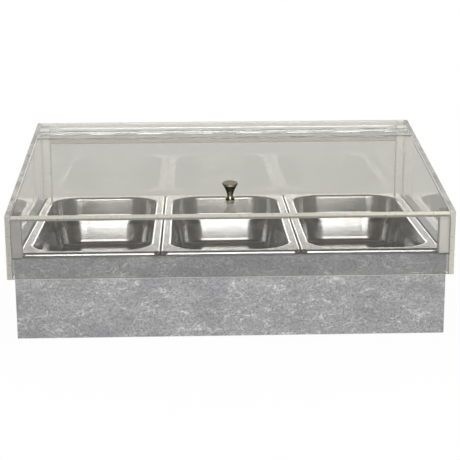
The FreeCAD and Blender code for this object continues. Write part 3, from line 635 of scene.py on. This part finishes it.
# %% [markdown]
# ## Floor
# The floor is white paper. For rays that the camera, a mirror or a clear sheet sends out, most of it glows at
# strength 1, which is white, and the rest is plain diffuse paper that keeps a soft shadow. It lies a hair
# below the feet, so that the two surfaces don't share a plane. More light on plain paper would also make it
# white, but would burn out the pale pieces.

# %% Floor
FLOOR_REACH = 20
FLOOR_GAP = 0.2 * MM
NEAR_GLOW = 0.97
SHADOW_REACH = (330 * MM, 550 * MM)


def white_paper():
    """White paper: a clean ground with a faint shadow, which lifts the grey box off the page."""
    made, tree, output = new_material("White_paper")
    path = add(tree, "ShaderNodeLightPath").outputs
    seen = add(tree, "ShaderNodeMath", {0: path["Is Camera Ray"], 1: path["Is Glossy Ray"]}, operation="ADD")
    looked = add(tree, "ShaderNodeMath", {0: seen.outputs[0], 1: path["Is Transmission Ray"]},
                 operation="ADD", use_clamp=True)
    place = add(tree, "ShaderNodeTexCoord").outputs["Object"]
    distance = add(tree, "ShaderNodeVectorMath", {0: place}, operation="LENGTH").outputs["Value"]
    share = add(tree, "ShaderNodeMapRange",
                {"Value": distance, "From Min": SHADOW_REACH[0], "From Max": SHADOW_REACH[1],
                 "To Min": NEAR_GLOW, "To Max": 1}).outputs[0]
    glowing = add(tree, "ShaderNodeMath", {0: looked.outputs[0], 1: share}, operation="MULTIPLY").outputs[0]
    paper = add(tree, "ShaderNodeBsdfDiffuse", {"Color": linear("#f7f7f7")})
    glow = add(tree, "ShaderNodeEmission", {"Color": linear("#ffffff"), "Strength": 1})
    mixed = add(tree, "ShaderNodeMixShader", {0: glowing, 1: paper.outputs[0], 2: glow.outputs[0]})
    tree.links.new(mixed.outputs[0], output.inputs["Surface"])
    return made


def flat_floor():
    sheet = bmesh.new()
    corners = [(-1, -1), (1, -1), (1, 1), (-1, 1)]
    sheet.faces.new([sheet.verts.new((x * FLOOR_REACH, y * FLOOR_REACH, -FLOOR_GAP)) for x, y in corners])
    mesh = bpy.data.meshes.new("floor")
    sheet.to_mesh(mesh)
    sheet.free()
    mesh.materials.append(white_paper())
    floor = bpy.data.objects.new("floor", mesh)
    bpy.context.scene.collection.objects.link(floor)


flat_floor()
print("floor", 2 * FLOOR_REACH, "m across")

# %% [markdown]
# ## Room
# The room is mostly what the steel and the acrylic mirror: white near the floor, dimmer higher up so that the
# sloping lid stays clear, olive towards the sides, and lighter behind the box. A panorama of a studio would
# do as well, but colour ramps on height and direction are easy to change.

# %% Room
ROOM_ROUND = ((0.0, "#b3ab88"), (0.3, "#857943"), (0.6, "#4a3f1a"), (0.82, "#ffffff"), (1.0, "#ffffff"))
ROOM_HEIGHT = ((0.0, "#ffffff"), (0.33, "#f4f4f4"), (0.5, "#a8a7a2"), (0.7, "#625c50"), (0.85, "#5e584b"),
               (1.0, "#8a857a"))
BACK_HEIGHT = ((0.0, "#ffffff"), (0.33, "#f4f4f4"), (0.5, "#c6c6c2"), (0.6, "#bababa"), (0.75, "#7d776a"),
               (1.0, "#8a857a"))
BACK_START = (0.3, 0.6)


def room():
    world = bpy.data.worlds.new("studio")
    world.use_nodes = True
    tree = world.node_tree
    tree.nodes.clear()
    direction = add(tree, "ShaderNodeTexCoord").outputs["Generated"]
    size = add(tree, "ShaderNodeVectorMath", {0: direction}, operation="ABSOLUTE").outputs[0]
    parts = add(tree, "ShaderNodeSeparateXYZ", {0: size}).outputs
    level = add(tree, "ShaderNodeMath", {0: parts["X"], 1: parts["Y"]}, operation="ADD").outputs[0]
    ahead = add(tree, "ShaderNodeMath", {0: parts["Y"], 1: level}, operation="DIVIDE").outputs[0]
    ramps = []
    for value, stops in ((ahead, ROOM_ROUND), (parts["Z"], ROOM_HEIGHT), (parts["Z"], BACK_HEIGHT)):
        ramp = add(tree, "ShaderNodeValToRGB", {"Fac": value})
        for place, _ in stops[1:-1]:
            ramp.color_ramp.elements.new(place)
        for element, (place, colour) in zip(ramp.color_ramp.elements, stops):
            element.position = place
            element.color = linear(colour)
        ramps.append(ramp.outputs["Color"])
    backward = add(tree, "ShaderNodeSeparateXYZ", {0: direction}).outputs["Y"]
    back = add(tree, "ShaderNodeMapRange",
               {"Value": backward, "From Min": BACK_START[0], "From Max": BACK_START[1]}).outputs[0]
    height = add(tree, "ShaderNodeMix", {0: back, 6: ramps[1], 7: ramps[2]}, data_type="RGBA").outputs[2]
    shade = add(tree, "ShaderNodeMix", {0: 1, 6: ramps[0], 7: height},
                data_type="RGBA", blend_type="MULTIPLY").outputs[2]
    sky = add(tree, "ShaderNodeBackground", {"Color": shade, "Strength": 1})
    add(tree, "ShaderNodeOutputWorld", {"Surface": sky.outputs[0]})
    bpy.context.scene.world = world
    print("room", world.name, "with", len(ramps), "colour ramps")


room()

# %% [markdown]
# ## Lamps
# Soft boxes draw the bright bands on the steel: a tall one and a low strip in front, and a strip behind.
# Small hard lamps would give sparks instead of bands. The soft box overhead only lights matt surfaces,
# because its mirror image would cover the lid.

# %% Lamps
middle = (cad_box[0] + cad_box[1]) / 2


def soft_box(name, place, width, height, power, mirrored=True):
    """A lamp of this many watts that faces the middle of the box."""
    lamp = bpy.data.lights.new(name, "AREA")
    lamp.shape = "RECTANGLE"
    lamp.size = width
    lamp.size_y = height
    lamp.energy = power
    made = bpy.data.objects.new(name, lamp)
    made.location = place
    made.rotation_euler = (middle - Vector(place)).to_track_quat("-Z", "Y").to_euler()
    made.visible_glossy = mirrored
    made.visible_transmission = mirrored
    bpy.context.scene.collection.objects.link(made)
    print("soft box", name, width, "by", height, "m,", power, "W")


soft_box("front", (0.06, -2.4, 1.22), width=1.25, height=1.95, power=31)
soft_box("front_strip", (0.06, -2.4, 0.28), width=1.6, height=0.3, power=9)
soft_box("back_strip", (0.0, 2.6, 0.35), width=2.4, height=0.44, power=11)
soft_box("overhead", (0.0, 0.1, 2.5), width=2.2, height=2.2, power=28, mirrored=False)

# %% [markdown]
# ## Camera
# The camera stands about 1.7 m off and half a metre up, with a long lens. Its place and turn could be set by
# eye, but here they were fitted, so that the straight edges of the box and the hood fall where they do in the
# photograph, which is 460 pixels square.

# %% Camera
PICTURE = 460
FOCAL_PIXELS = 1243.9
SENSOR = 36.0
CAMERA_PLACE = Vector((-45.5, -1672.9, 496.4)) * MM
YAW, PITCH, ROLL = (math.radians(angle) for angle in (-1.685, -13.357, 0.287))


def aim_camera():
    lens = bpy.data.cameras.new("camera")
    lens.sensor_width = SENSOR
    lens.lens = FOCAL_PIXELS / PICTURE * SENSOR
    camera = bpy.data.objects.new("camera", lens)
    level = Matrix.Rotation(math.pi / 2, 4, "X")
    turn = Matrix.Rotation(YAW, 4, "Z") @ Matrix.Rotation(PITCH, 4, "X") @ Matrix.Rotation(ROLL, 4, "Y")
    camera.matrix_world = Matrix.Translation(CAMERA_PLACE) @ turn @ level
    bpy.context.scene.collection.objects.link(camera)
    bpy.context.scene.camera = camera
    print("camera lens", round(lens.lens, 1), "mm")


aim_camera()
bpy.context.scene.view_settings.view_transform = "Standard"
